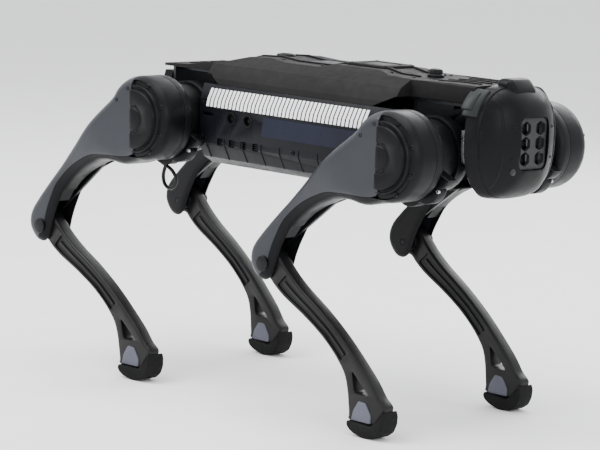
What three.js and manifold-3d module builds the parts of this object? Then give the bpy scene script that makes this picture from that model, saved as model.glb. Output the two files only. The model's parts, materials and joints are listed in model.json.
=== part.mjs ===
// Four-legged walking robot, in millimetres. +X is forward, +Y is left, +Z is up.
// The origin is on the ground, under the middle of the whole robot's bounding box.
// The trunk carries four three-joint legs. Each leg rolls about X at the trunk, swings about Y at the
// hip, and bends about Y at the knee, where a crank and a push rod inside the thigh drive the shank.
import * as THREE from 'three';
import { mergeVertices } from 'three/addons/utils/BufferGeometryUtils.js';
import Module from 'manifold-3d';

const wasm = await Module();
wasm.setup();

// ---- Driving dimensions -------------------------------------------------------------------------
const GAP = 0.3; // left between pieces that touch
const HIP_X = 220; // hip axes lie this far in front of and behind the middle of the trunk
const ROLL_Y = 51; // roll axes, either side of the middle
const THIGH = 256; // hip axis to knee axis
const SHANK = 252; // knee axis to the middle of the foot's sole arc
const SOLE_R = 20; // sole arc, about the foot's middle
const STANCE = 336; // hip axis above the foot's middle when standing
const HIP_Z = STANCE + SOLE_R; // hip axis above the ground
const LEAN = { front_right: 51.2, front_left: 53, rear_right: 48.4, rear_left: 53 }; // thigh, degrees

// Distances from the robot's middle plane, from the inside of a leg to its outside
const HIP_IN = 60;
const MOTOR_IN = 64.3;
const MOTOR_OUT = 112.6;
const SHELL_IN = 113;
const SHELL_SPLIT = 131;
const SHELL_OUT = 162;
const ROD_Y = [120, 125];
const CRANK_Y = [125.6, 129.8];
const SHANK_Y = [130.5, 150.5];
const FOOT_Y = [125.5, 155.5];
const FLANGE_OUT = 167;
const CAP_OUT = 176;

const DRUM_R = 57; // round top end of the thigh
const KNEE_MOTOR_R = 50;
const THIGH_MOTOR_R = 44;
const ROLL_MOTOR_R = 38;
const CRANK_R = 17; // crank and shank lever: centre to centre
const PIN_R = 4; // knee pin

const WALL = 3; // trunk covers
const BODY_X = 174; // trunk covers end here, front and rear
const BODY_Y = 95;
const BULKHEAD_X = 152;
const HUB_X = 160.3; // the hip links' output plates start here
const END_PLATE_X = 270.5;
const HEAD_BACK = 272;

const SEGMENTS = 24; // round pieces

// ---- Solids -------------------------------------------------------------------------------------
const rad = (degrees) => (degrees * Math.PI) / 180;

function solid(geometry) {
  const bare = geometry.index ? geometry.toNonIndexed() : geometry.clone();
  bare.deleteAttribute('normal');
  bare.deleteAttribute('uv');
  const merged = mergeVertices(bare, 1e-3);
  const vertProperties = new Float32Array(merged.attributes.position.array);
  const triVerts = new Uint32Array(merged.index.array);
  return new wasm.Manifold(new wasm.Mesh({ numProp: 3, vertProperties, triVerts }));
}

function geometryOf(shape) {
  const mesh = shape.getMesh();
  const geometry = new THREE.BufferGeometry();
  geometry.setAttribute('position', new THREE.BufferAttribute(new Float32Array(mesh.vertProperties), 3));
  geometry.setIndex(new THREE.BufferAttribute(new Uint32Array(mesh.triVerts), 1));
  geometry.computeVertexNormals();
  return geometry;
}

const join = (first, ...others) => others.reduce((sum, item) => sum.add(item), first);
const cut = (first, ...others) => others.reduce((rest, item) => rest.subtract(item), first);

function box(x0, x1, y0, y1, z0, z1) {
  const geometry = new THREE.BoxGeometry(x1 - x0, y1 - y0, z1 - z0);
  return solid(geometry.translate((x0 + x1) / 2, (y0 + y1) / 2, (z0 + z1) / 2));
}

function extrude(shape, depth, bevel) {
  const settings = { depth: depth - 2 * bevel, bevelEnabled: bevel > 0, curveSegments: 6 };
  Object.assign(settings, { bevelSize: bevel, bevelThickness: bevel, bevelOffset: -bevel, bevelSegments: 1 });
  return new THREE.ExtrudeGeometry(shape, settings).translate(0, 0, bevel);
}

const outline = (points) => new THREE.Shape(points.map(([a, b]) => new THREE.Vector2(a, b)));

// An outline in the X-Z plane, given depth from y0 to y1
function sideways(shape, y0, y1, bevel = 0) {
  return solid(extrude(shape, y1 - y0, bevel).rotateX(Math.PI / 2).translate(0, y1, 0));
}

// An outline in the Y-Z plane, given depth from x0 to x1
function lengthways(shape, x0, x1, bevel = 0) {
  return solid(extrude(shape, x1 - x0, bevel).rotateY(Math.PI / 2).rotateX(Math.PI / 2).translate(x0, 0, 0));
}

// An outline in the X-Y plane, given height from z0 to z1
function upwards(shape, z0, z1, bevel = 0) {
  return solid(extrude(shape, z1 - z0, bevel).translate(0, 0, z0));
}

// A turned piece: its profile is [radius, distance along the axis] pairs, closed on the axis
function turned(profile, axis, segments = SEGMENTS) {
  const geometry = new THREE.LatheGeometry(profile.map(([r, d]) => new THREE.Vector2(r, d)), segments);
  if (axis === 'x') geometry.rotateZ(-Math.PI / 2);
  return solid(geometry);
}

function disc(radius, from, to, axis, segments = SEGMENTS) {
  const [low, high] = from < to ? [from, to] : [to, from];
  return turned([[0, low], [radius, low], [radius, high], [0, high]], axis, segments);
}

// Leg pieces are described by their distances from the middle plane, on either side of the robot
const across = (side, inner, outer) => (side > 0 ? [inner, outer] : [-outer, -inner]);
const slab = (shape, side, inner, outer, bevel = 0) => sideways(shape, ...across(side, inner, outer), bevel);
const round = (radius, side, inner, outer, segments = SEGMENTS) =>
  disc(radius, ...across(side, inner, outer), 'y', segments);

// ---- Finishes -----------------------------------------------------------------------------------
const FINISHES = {
  black: { color: 0x1b1c20, roughness: 0.45, metalness: 0 },
  textured: { color: 0x242326, roughness: 0.75, metalness: 0 },
  slate: { color: 0x3d414c, roughness: 0.42, metalness: 0.1 },
  motor: { color: 0x17181a, roughness: 0.4, metalness: 0.3 },
  alloy: { color: 0x8f9296, roughness: 0.35, metalness: 0.9 },
  steel: { color: 0xb5b7ba, roughness: 0.25, metalness: 1 },
  rubber: { color: 0x121212, roughness: 0.85, metalness: 0 },
  cell: { color: 0x30343a, roughness: 0.6, metalness: 0 },
  board: { color: 0x1d4a2c, roughness: 0.5, metalness: 0 },
  lens: { color: 0x07080a, roughness: 0.1, metalness: 0 },
};

function piece(parent, name, shape, finish) {
  const mesh = new THREE.Mesh(geometryOf(shape), new THREE.MeshStandardMaterial(FINISHES[finish]));
  mesh.name = name;
  parent.add(mesh);
  return mesh;
}

// ---- Trunk: +Z is measured from the hip axes ----------------------------------------------------
const mirrored = (half) => [...half, ...half.map(([y, z]) => [-y, z]).reverse()];

function chassis() {
  const floor = box(-BULKHEAD_X, BULKHEAD_X, -70, 70, -50, -46);
  const spine = box(-END_PLATE_X, END_PLATE_X, -36, 36, 58, 62);
  let frame = join(floor, spine);
  for (const end of [-1, 1]) {
    const [near, far] = [end * BULKHEAD_X, end * (BULKHEAD_X + 6)].sort((a, b) => a - b);
    const bulkhead = box(near, far, -86, 86, -30, 44);
    const foot = box(near, far, -70, 70, -50, -28);
    const neck = box(near, far, -36, 36, 42, 60);
    const [inner, outer] = [end * END_PLATE_X, end * (END_PLATE_X + 4)].sort((a, b) => a - b);
    const endPlate = box(inner, outer, -50, 50, -36, 62);
    frame = join(frame, bulkhead, foot, neck, endPlate);
    for (const side of [-1, 1]) {
      frame = cut(frame, disc(25, near - 1, far + 1, 'x').translate(0, side * ROLL_Y, 0));
    }
  }
  return frame;
}

// Half of the trunk's cross-section, from the bottom up, drawn in by inset
const bodyHalf = (inset) => [
  [66, -58 + inset],
  [84 - inset * 0.6, -48 + inset * 0.8],
  [BODY_Y - inset, -28],
  [BODY_Y - inset, 30],
  [89 - inset, 50],
];

function sidePanel(side) {
  const skin = cut(
    lengthways(outline(mirrored(bodyHalf(0))), -BODY_X, BODY_X),
    lengthways(outline(mirrored(bodyHalf(WALL))), -BODY_X - 1, BODY_X + 1),
  );
  const [y0, y1] = side > 0 ? [66 + GAP, 120] : [-120, -66 - GAP];
  return skin.intersect(box(-BODY_X, BODY_X, y0, y1, -60, 50));
}

const bellyPan = () => join(box(-BODY_X, BODY_X, -66, 66, -58, -55), box(-120, 120, -46, 46, -61, -57));

// The top cover: its side view over the trunk, and its cross-section
const TOP_LINE = [
  [-286, 66], [-240, 68], [-196, 74], [-172, 76], [-128, 88], [-92, 90], [-60, 87], [0, 87],
  [22, 92], [100, 92], [120, 88], [180, 86], [230, 88], [268, 88],
];

function coverBlank(inset) {
  const top = TOP_LINE.map(([x, z]) => [x, z - inset]);
  const under = [[268, 65 - inset], [160, 65 - inset], [128, 50.3 - inset], [-148, 50.3 - inset]];
  const sides = sideways(outline([...top, ...under, [-168, 62.5 - inset], [-286, 62.5 - inset]]), -92, 92);
  const half = [[89, 50.3], [86, 58], [74, 76], [52, 88], [40, 94]].map(([y, z]) => [y - inset, z - inset]);
  const low = [89 - inset, 50.3 - 4 * inset];
  const section = lengthways(outline(mirrored([low, ...half])), -286, 268);
  const over = (x0, x1) => box(x0, x1, -56 + inset, 56 - inset, 40, 100);
  const width = join(box(-BODY_X, BODY_X - 12, -92, 92, 40, 100), over(-286, -160), over(140, 268));
  return sides.intersect(section).intersect(width);
}

function topCover() {
  const hollow = coverBlank(WALL).intersect(box(-BODY_X + WALL, BODY_X - 15, -92, 92, 30, 100));
  return cut(coverBlank(0), hollow);
}

// ---- Head: a helmet, open at the back, with a sensor bay in its face ----------------------------
function helmet(inset) {
  const halfWidth = 87 - inset;
  const depth = 75 - inset;
  const plan = new THREE.Shape();
  plan.moveTo(200, -halfWidth);
  plan.absellipse(250, 0, depth, halfWidth, -Math.PI / 2, Math.PI / 2, false);
  plan.lineTo(200, halfWidth);
  const nose = [
    [200, -45], [285, -50], [303, -45], [316, -29], [323, -6], [326, 20], [324, 46], [317, 66],
    [306, 80], [296, 86], [200, 88],
  ].map(([x, z]) => [x - inset * 0.4, z > 0 ? z - inset : z + inset]);
  const face = [
    [44, -50], [64, -38], [79, -18], [86, 2], [88, 26], [84, 50], [73, 70], [54, 84], [26, 90],
  ].map(([y, z]) => [y - inset, z > 20 ? z - inset * 0.8 : z + inset * 0.8]);
  return upwards(plan, -60, 110)
    .intersect(sideways(outline(nose), -100, 100))
    .intersect(lengthways(outline(mirrored(face)), 200, 340));
}

const BAY = { y: 27, z0: -13, z1: 53, plateX: 313 }; // the sensor bay's opening and its plate's front

function headShell() {
  const crest = sideways(outline([[274, 80], [276, 96], [292, 98], [303, 84], [303, 78]]), -24, 24);
  const shell = cut(join(helmet(0), crest), helmet(4));
  const kept = shell.intersect(box(HEAD_BACK + 3, 340, -100, 100, -60, 110));
  return cut(kept, box(300, 340, -BAY.y, BAY.y, BAY.z0, BAY.z1));
}

const APERTURES = [];
for (const y of [-14, 14]) {
  for (const z of [1, 20, 39]) APERTURES.push([y, z]);
}

function facePlate() {
  const edge = 1;
  let plate = box(BAY.plateX - 4, BAY.plateX, -BAY.y + edge, BAY.y - edge, BAY.z0 + edge, BAY.z1 - edge);
  for (const [y, z] of APERTURES) plate = cut(plate, disc(7, 300, 320, 'x', 12).translate(0, y, z));
  return plate;
}

function sensorModule() {
  let block = box(292, BAY.plateX - 4 - GAP, -24, 24, -10, 50);
  for (const [y, z] of APERTURES) block = join(block, disc(6, 300, 311, 'x', 12).translate(0, y, z));
  return block;
}

function tailCover() {
  const plan = [[-58, -36], [58, -36], [62, 20], [50, 56], [-50, 56], [-62, 20]];
  const shell = lengthways(outline(plan), -290, -END_PLATE_X - 4 - GAP, 0);
  const inside = [[-54, -32], [54, -32], [58, 20], [47, 52], [-47, 52], [-58, 20]];
  return cut(shell, lengthways(outline(inside), -287, -200));
}

function mainBoard() {
  const board = box(-86, 86, -60, 60, 32, 34);
  return join(board, box(-50, 10, -30, 30, 33, 42), box(30, 70, -20, 20, 33, 38));
}

// ---- Leg pieces ---------------------------------------------------------------------------------
// Roll stage, in the trunk's frame. end is +1 at the front and -1 at the rear.
function hipLink(end, side) {
  const along = (radius, from, to) => disc(radius, end * from, end * to, 'x').translate(0, side * ROLL_Y, 0);
  const spigot = along(23.5, BULKHEAD_X + 0.3, HUB_X + 1);
  const plate = along(40, HUB_X, HUB_X + 6);
  const ring = round(48, side, HIP_IN, 78).translate(end * HIP_X, 0, 0);
  const [x0, x1] = end > 0 ? [HUB_X + 4, 190] : [-190, -HUB_X - 4];
  const arm = box(x0, x1, ...across(side, HIP_IN, 78), -30, 30);
  const bore = round(THIGH_MOTOR_R + GAP, side, MOTOR_IN - GAP, 120).translate(end * HIP_X, 0, 0);
  return cut(join(spigot, plate, ring, arm), bore);
}

// Thigh outline: hip axis at the origin, the knee straight down, the leg's front towards +X
const THIGH_BACK = [
  [-54.5, -62], [-54, -90], [-50, -126], [-46, -166], [-42, -206], [-37, -242], [-33, -260],
  [-27, -271], [-17, -279], [-4, -281.5], [9, -279],
];
const THIGH_FRONT = [
  [17, -271], [18, -258], [12, -248], [5, -238], [-2, -226], [-9, -211], [-15, -196], [-17.5, -176],
  [-16, -150], [-10, -124], [-2, -102], [12, -82], [30, -64],
];

function thighOutline(inset) {
  const arc = [];
  for (let angle = -40; angle <= 200; angle += 15) {
    arc.push([(DRUM_R - inset) * Math.cos(rad(angle)), (DRUM_R - inset) * Math.sin(rad(angle))]);
  }
  const back = THIGH_BACK.map(([x, z]) => [x + inset * (z > -265 ? 1 : 0.6), z + (z < -265 ? inset : 0)]);
  const front = THIGH_FRONT.map(([x, z]) => [x - inset, z < -265 ? z + inset : z]);
  return outline([...arc, ...back, ...front]);
}

// The room that the shank sweeps through, seen from the side, round the knee
function kneeSweep(from, to, radius) {
  const points = [[0, -THIGH]];
  for (let step = 0; step <= 8; step += 1) {
    const angle = rad(from + ((to - from) * step) / 8);
    points.push([radius * Math.sin(angle), -THIGH + radius * Math.cos(angle)]);
  }
  return outline(points);
}

const atKnee = (shape) => shape.translate(0, 0, -THIGH);
const FORK = [-16, 184, 66]; // the fork's opening: first and last angle, measured from the hip, and reach

function thighInner(side) {
  const blank = slab(thighOutline(0), side, SHELL_IN, 160, 4);
  const half = blank.intersect(box(-200, 200, ...across(side, SHELL_IN, SHELL_SPLIT - GAP / 2), -400, 100));
  const cavity = slab(thighOutline(4), side, 118.5, 170);
  const rodSlot = outline([[-24, -98], [60, -98], [60, -THIGH], [-24, -THIGH]]);
  const front = slab(rodSlot, side, 118.5, 170);
  const fork = slab(kneeSweep(...FORK), side, 118.5, 170);
  return cut(half, cavity, front, fork, atKnee(round(PIN_R + GAP, side, 100, 170, 16)));
}

function thighOuter(side) {
  const blank = slab(thighOutline(0), side, 100, SHELL_OUT, 7);
  const half = blank.intersect(box(-200, 200, ...across(side, SHELL_SPLIT + GAP / 2, 170), -400, 100));
  const cavity = slab(thighOutline(4), side, 120, 152.5);
  const fork = slab(kneeSweep(...FORK), side, 120, 152.5);
  const motorHole = round(KNEE_MOTOR_R + GAP, side, 140, 170);
  return cut(half, cavity, fork, motorHole, atKnee(round(PIN_R + GAP, side, 100, 170, 16)));
}

function kneeMotor(side) {
  const can = round(KNEE_MOTOR_R, side, 132, SHELL_OUT + 1);
  let flange = round(55, side, SHELL_OUT + GAP, FLANGE_OUT);
  for (const angle of [-22, 10, 205]) {
    const lobe = round(9, side, SHELL_OUT + GAP, FLANGE_OUT - 1, 14);
    flange = join(flange, lobe.translate(54 * Math.cos(rad(angle)), 0, 54 * Math.sin(rad(angle))));
  }
  return join(can, flange);
}

function motorCap(side) {
  const step = [[0, FLANGE_OUT + GAP], [47, FLANGE_OUT + GAP], [47, 172], [44, CAP_OUT - 1], [41, CAP_OUT]];
  const profile = [...step, [0, CAP_OUT]];
  const cap = turned(profile, 'y');
  return side > 0 ? cap : cap.rotate([0, 0, 180]);
}

function kneePin(side) {
  const shaft = round(PIN_R, side, SHELL_IN, SHELL_OUT + 1, 16);
  return atKnee(join(shaft, round(10, side, SHELL_OUT + GAP, 165, 20)));
}

// The crank, from the hip axis straight back, with its pin in the rod's eye
function teardrop(bigR, smallR, reach) {
  const points = [];
  for (let angle = -80; angle <= 80; angle += 20) {
    points.push([bigR * Math.cos(rad(angle)), bigR * Math.sin(rad(angle))]);
  }
  for (let angle = 100; angle <= 260; angle += 20) {
    points.push([-reach + smallR * Math.cos(rad(angle)), smallR * Math.sin(rad(angle))]);
  }
  return outline(points);
}

function kneeCrank(side) {
  const arm = slab(teardrop(11, 5, CRANK_R), side, ...CRANK_Y);
  return join(arm, round(2.7, side, ROD_Y[0] - 0.6, CRANK_Y[0] + 1, 12).translate(-CRANK_R, 0, 0));
}

function kneeRod(side) {
  let rod = slab(outline([[-3, 0], [3, 0], [3, -THIGH], [-3, -THIGH]]), side, ...ROD_Y);
  for (const z of [0, -THIGH]) rod = join(rod, round(5.4, side, ...ROD_Y, 16).translate(0, 0, z));
  for (const z of [0, -THIGH]) rod = cut(rod, round(3.2, side, 110, 130, 16).translate(0, 0, z));
  return rod.translate(-CRANK_R, 0, 0);
}

// Shank outline: knee axis at the origin, the foot straight down, the leg's front towards +X
const SHANK_FRONT = [
  [35, -258], [35.5, -241], [38, -222], [38.5, -200], [37, -150], [31, -102], [22, -58], [19, -30],
];
const SHANK_BACK = [
  [-13, -27], [-10, -46], [2, -88], [10, -126], [12, -160], [9, -184], [1, -200], [-9, -214], [-19.5, -227],
  [-23, -229],
];
const WINDOW = [[24, -188], [8, -212], [25.5, -231]];

function shank(side, flexion) {
  const head = [];
  for (let angle = 0; angle <= 225; angle += 25) {
    head.push([19.5 * Math.cos(rad(angle)), 19.5 * Math.sin(rad(angle))]);
  }
  const profile = outline([...SHANK_FRONT, ...head, ...SHANK_BACK, [5, -260.5]]);
  profile.holes.push(new THREE.Path(WINDOW.map(([x, z]) => new THREE.Vector2(x, z))));
  const bar = slab(profile, side, ...SHANK_Y, 1.5);
  const lever = slab(teardrop(12, 5, CRANK_R), side, CRANK_Y[0], SHANK_Y[0] + 3);
  const leverPin = round(2.7, side, ROD_Y[0] - 0.6, CRANK_Y[0] + 1, 12).translate(-CRANK_R, 0, 0);
  const tail = join(lever, leverPin).rotate([0, flexion, 0]);
  return cut(join(bar, tail), round(PIN_R + GAP, side, 100, 170, 16));
}

// Foot outline, about the foot's middle, with the sole level
const FOOT_TOP = [[27.4, 21.4], [10.4, -2.4], [-33, -2.4]];
const FOOT_BACK = [[-33, -8], [-28, -13], [-19, -17]];
const FOOT_TOE = [[19, -16.5], [29, -9], [34, 2], [34, 12]];
const SOLE_LEAN = 48.8; // the shank's lean at which the outline's sole is level

function footPad(side) {
  const sole = [];
  for (let angle = -15; angle <= 15; angle += 5) {
    sole.push([SOLE_R * Math.sin(rad(angle)), -SOLE_R * Math.cos(rad(angle))]);
  }
  const profile = outline([...FOOT_TOP, ...FOOT_BACK, ...sole, ...FOOT_TOE]);
  return slab(profile, side, ...FOOT_Y).rotate([0, SOLE_LEAN, 0]).translate(0, 0, -SHANK);
}

// ---- Cable loop under the rear right hip --------------------------------------------------------
const CABLE_D = 5;
const GLAND_R = 4.3; // the two glands under the thigh motor that the cable runs between
const CABLE_ROUTE = [
  [-247, -107.5, -47], [-246.8, -107.4, -51], [-243, -107, -57], [-234, -106, -62], [-224, -105.5, -66],
  [-212, -105, -72], [-205, -104, -82], [-208, -103, -92], [-218, -102, -97], [-229, -101, -93],
  [-234, -100, -83], [-233, -99, -72], [-229, -98.5, -62], [-227, -98, -54], [-227, -98, -50],
];

function cableLoop() {
  const points = CABLE_ROUTE.map(([x, y, z]) => new THREE.Vector3(x, y, z));
  const path = new THREE.CatmullRomCurve3(points, false, 'centripetal');
  const section = new THREE.Shape();
  section.absarc(0, 0, CABLE_D / 2, 0, 2 * Math.PI, false);
  const settings = { steps: 36, extrudePath: path, bevelEnabled: false, curveSegments: 4 };
  return solid(new THREE.ExtrudeGeometry(section, settings));
}

// The thigh motor, with the cable's glands below it on the leg that has the cable
function thighMotor(side, glands) {
  const can = round(THIGH_MOTOR_R, side, MOTOR_IN, MOTOR_OUT);
  const bosses = glands.map(([x, y, z]) => {
    const boss = upwards(new THREE.Shape().absarc(0, 0, GLAND_R, 0, 2 * Math.PI), z + GAP, z + 20);
    return boss.translate(x + HIP_X, y, 0);
  });
  return join(can, ...bosses);
}

// ---- Assembly -----------------------------------------------------------------------------------
const robot = new THREE.Group();
const trunk = new THREE.Group();
trunk.position.z = HIP_Z;
robot.add(trunk);

piece(trunk, 'chassis', chassis(), 'alloy');
piece(trunk, 'top_cover', topCover(), 'textured');
piece(trunk, 'side_panel_left', sidePanel(1), 'black');
piece(trunk, 'side_panel_right', sidePanel(-1), 'black');
piece(trunk, 'belly_pan', bellyPan(), 'textured');
piece(trunk, 'battery', box(-86, 86, -60, 60, -45, 18), 'cell');
piece(trunk, 'main_board', mainBoard(), 'board');
piece(trunk, 'head_shell', headShell(), 'black');
piece(trunk, 'face_plate', facePlate(), 'motor');
piece(trunk, 'sensor_module', sensorModule(), 'lens');
piece(trunk, 'tail_cover', tailCover(), 'black');
piece(trunk, 'rear_right_cable_loop', cableLoop(), 'rubber');

for (const [name, lean] of Object.entries(LEAN)) {
  const end = name.startsWith('front') ? 1 : -1;
  const side = name.endsWith('left') ? 1 : -1;
  const kneeHeight = STANCE - THIGH * Math.cos(rad(lean));
  const flexion = lean + (Math.acos(kneeHeight / SHANK) * 180) / Math.PI;

  const rollMotor = disc(ROLL_MOTOR_R, end * 92, end * (BULKHEAD_X - GAP), 'x');
  piece(trunk, `${name}_roll_motor`, rollMotor.translate(0, side * ROLL_Y, 0), 'motor');
  piece(trunk, `${name}_hip_link`, hipLink(end, side), 'alloy');

  const hip = new THREE.Group();
  hip.position.set(end * HIP_X, 0, 0);
  trunk.add(hip);
  const glands = name === 'rear_right' ? [CABLE_ROUTE[0], CABLE_ROUTE.at(-1)] : [];
  piece(hip, `${name}_thigh_motor`, thighMotor(side, glands), 'motor');

  const thigh = new THREE.Group();
  thigh.rotation.y = rad(lean);
  hip.add(thigh);
  piece(thigh, `${name}_thigh_inner`, thighInner(side), 'slate');
  piece(thigh, `${name}_thigh_outer`, thighOuter(side), 'slate');
  piece(thigh, `${name}_knee_motor`, kneeMotor(side), 'motor');
  piece(thigh, `${name}_motor_cap`, motorCap(side), 'motor');
  piece(thigh, `${name}_knee_pin`, kneePin(side), 'steel');
  piece(thigh, `${name}_knee_crank`, kneeCrank(side), 'steel');
  piece(thigh, `${name}_knee_rod`, kneeRod(side), 'steel');

  const knee = new THREE.Group();
  knee.position.set(0, 0, -THIGH);
  knee.rotation.y = rad(-flexion);
  thigh.add(knee);
  piece(knee, `${name}_shank`, shank(side, flexion), 'black');
  piece(knee, `${name}_foot`, footPad(side), 'rubber');
}

// The middle of the whole robot's box stands over the origin
const bounds = new THREE.Box3().setFromObject(robot, true);
trunk.position.x = -(bounds.min.x + bounds.max.x) / 2;

export default robot;
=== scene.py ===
"""Looks of a four-legged walking robot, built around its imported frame.

Shapes are in millimetres, placed in metres.

Leg pieces are drawn in their own frames: X to the leg's front, Y out from the robot's middle plane, Z up
the limb. Trunk pieces are drawn from the point midway between the four hip axes.
"""

import json
import math

import bmesh
import bpy
import numpy as np
from mathutils import Matrix, Vector, geometry

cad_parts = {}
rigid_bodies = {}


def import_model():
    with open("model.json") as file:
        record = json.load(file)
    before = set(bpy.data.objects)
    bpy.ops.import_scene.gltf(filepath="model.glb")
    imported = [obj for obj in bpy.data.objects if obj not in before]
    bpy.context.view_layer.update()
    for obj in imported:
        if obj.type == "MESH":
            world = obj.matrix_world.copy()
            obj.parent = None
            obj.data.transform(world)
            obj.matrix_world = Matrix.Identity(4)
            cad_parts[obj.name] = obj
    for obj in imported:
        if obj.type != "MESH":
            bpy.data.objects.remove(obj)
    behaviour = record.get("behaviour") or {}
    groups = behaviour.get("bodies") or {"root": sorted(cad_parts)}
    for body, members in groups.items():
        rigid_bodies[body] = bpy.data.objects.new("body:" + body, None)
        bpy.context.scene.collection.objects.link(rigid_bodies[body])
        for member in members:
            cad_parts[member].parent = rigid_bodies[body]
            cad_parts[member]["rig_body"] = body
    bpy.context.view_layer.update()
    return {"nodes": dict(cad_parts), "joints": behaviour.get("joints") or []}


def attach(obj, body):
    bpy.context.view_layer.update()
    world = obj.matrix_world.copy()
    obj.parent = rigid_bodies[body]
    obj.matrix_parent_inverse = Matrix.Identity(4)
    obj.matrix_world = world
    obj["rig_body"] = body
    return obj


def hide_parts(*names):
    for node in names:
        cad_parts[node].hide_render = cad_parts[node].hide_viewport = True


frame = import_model()

MM = 0.001
JOINTS = {joint["name"]: Vector(joint["pos_m"]) for joint in frame["joints"]}
LEGS = ("front_right", "front_left", "rear_right", "rear_left")

# ---- Driving sizes, in millimetres --------------------------------------------------------------
THIGH = 256
SHANK = 252
SOLE_R = 20
DRUM_R = 57
MOTOR_R = 50
SHELL_IN = 113
SHELL_SPLIT = 131
SHELL_OUT = 162
HIP_BULGE = 10           # how much further out the thigh's face stands at the hip than at the knee
CAP_OUT = 176
SHANK_Y = (130.5, 150.5)
FOOT_Y = (125.5, 155.5)
CABLE_D = 5
MEAN_LEAN = 51.4         # the thighs' usual lean, degrees

TRUNK_ZERO = sum((JOINTS[f"{leg}_swing"] for leg in LEGS), Vector()) / 4
TRUNK = Matrix.Translation(TRUNK_ZERO) @ Matrix.Scale(MM, 4)


# ---- Camera and light ---------------------------------------------------------------------------
CAMERA_AT = Vector((2.470, -2.629, 0.746))
CAMERA_AIM = Vector((-0.004, 0, 0.2215))
CAMERA_ROLL = math.radians(2.8)
CAMERA_LENS = 163


def camera():
    data = bpy.data.cameras.new("camera")
    data.lens = CAMERA_LENS
    data.clip_start = 0.1
    data.clip_end = 60
    eye = bpy.data.objects.new("camera", data)
    bpy.context.scene.collection.objects.link(eye)
    look = (CAMERA_AIM - CAMERA_AT).to_track_quat("-Z", "Y").to_matrix().to_4x4()
    eye.matrix_world = Matrix.Translation(CAMERA_AT) @ look @ Matrix.Rotation(CAMERA_ROLL, 4, "Z")
    bpy.context.scene.camera = eye


def area_light(name, at, aim, size, watts, tint=(1, 1, 1)):
    data = bpy.data.lights.new(name, "AREA")
    data.shape = "RECTANGLE"
    data.size, data.size_y = size
    data.energy = watts
    data.color = tint
    lamp = bpy.data.objects.new(name, data)
    lamp.location = at
    lamp.rotation_mode = "QUATERNION"
    lamp.rotation_quaternion = (Vector(aim) - Vector(at)).to_track_quat("-Z", "Y")
    bpy.context.scene.collection.objects.link(lamp)


def studio():
    world = bpy.data.worlds.new("studio")
    world.use_nodes = True
    back = world.node_tree.nodes["Background"]
    back.inputs["Color"].default_value = (0.97, 0.98, 1.0, 1)
    back.inputs["Strength"].default_value = 1.5
    bpy.context.scene.world = world
    middle = (0, 0, 0.25)
    area_light("key", (-1.2, -1.6, 2.6), middle, (1.8, 1.8), 95, (1.0, 0.99, 0.97))
    area_light("front", (3.0, -0.6, 1.5), middle, (1.2, 1.6), 26)
    area_light("side", (0.6, -3.4, 0.9), middle, (2.2, 0.8), 16, (0.93, 0.96, 1.0))
    area_light("rim", (-0.6, 2.6, 1.7), middle, (2.4, 0.7), 40)
    area_light("top", (0.2, 0.2, 3.0), middle, (2.6, 1.6), 60)


# ---- Materials ----------------------------------------------------------------------------------
def link(tree, source, socket, target, name):
    tree.links.new(source.outputs[socket], target.inputs[name])


def node(tree, kind, **values):
    made = tree.nodes.new("ShaderNode" + kind)
    for key, value in values.items():
        if hasattr(made, key):
            setattr(made, key, value)
        else:
            made.inputs[key.replace("_", " ").title()].default_value = value
    return made


def noise(tree, coords, scale, detail=3, rough=0.55):
    made = node(tree, "TexNoise", scale=scale, detail=detail, roughness=rough)
    link(tree, coords, "Object", made, "Vector")
    return made


def spread(tree, source, low, high, start=0.3, stop=0.7):
    made = node(tree, "MapRange")
    for name, value in zip(("From Min", "From Max", "To Min", "To Max"), (start, stop, low, high)):
        made.inputs[name].default_value = value
    link(tree, source, "Fac", made, "Value")
    return made


def mixed(tree, factor, first, second):
    made = node(tree, "Mix", data_type="RGBA")
    made.inputs[0].default_value = 0.5
    tree.links.new(factor, made.inputs[0])
    for index, value in ((6, first), (7, second)):
        if isinstance(value, tuple):
            made.inputs[index].default_value = (*value, 1)
        else:
            tree.links.new(value, made.inputs[index])
    return made.outputs[2]


def finish(name, colour, rough, metal=0.0, mottle=0.2, grain=1400, bump=0.25, depth=0.15,
           coat=0.0, wear=0.0, specular=0.5):
    """A procedural finish: drifting colour, uneven gloss, a fine grain and lighter rubbed patches."""
    made = bpy.data.materials.new(name)
    made.use_nodes = True
    tree = made.node_tree
    surface = tree.nodes["Principled BSDF"]
    coords = node(tree, "TexCoord")
    broad = noise(tree, coords, 11, 4)
    fine = noise(tree, coords, grain, 3)
    middle = noise(tree, coords, 85, 5, 0.6)
    dark = tuple(c * (1 - mottle) for c in colour)
    light = tuple(min(1, c * (1 + mottle)) for c in colour)
    tone = mixed(tree, spread(tree, broad, 0, 1).outputs[0], dark, light)
    if wear:
        scuff = noise(tree, coords, 260, 6, 0.7)
        rubbed = tuple(min(1, c * 2.2 + 0.02) for c in colour)
        mask = spread(tree, scuff, 0, wear, 0.58, 0.72)
        tone = mixed(tree, mask.outputs[0], tone, rubbed)
    tree.links.new(tone, surface.inputs["Base Color"])
    gloss = spread(tree, middle, max(0.02, rough - 0.07), min(1, rough + 0.07))
    link(tree, gloss, "Result", surface, "Roughness")
    if bump:
        relief = node(tree, "Bump")
        relief.inputs["Strength"].default_value = bump
        relief.inputs["Distance"].default_value = depth * MM
        link(tree, fine, "Fac", relief, "Height")
        link(tree, relief, "Normal", surface, "Normal")
    surface.inputs["Metallic"].default_value = metal
    surface.inputs["Coat Weight"].default_value = coat
    surface.inputs["Coat Roughness"].default_value = 0.3
    surface.inputs["Specular IOR Level"].default_value = specular
    return made


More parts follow.
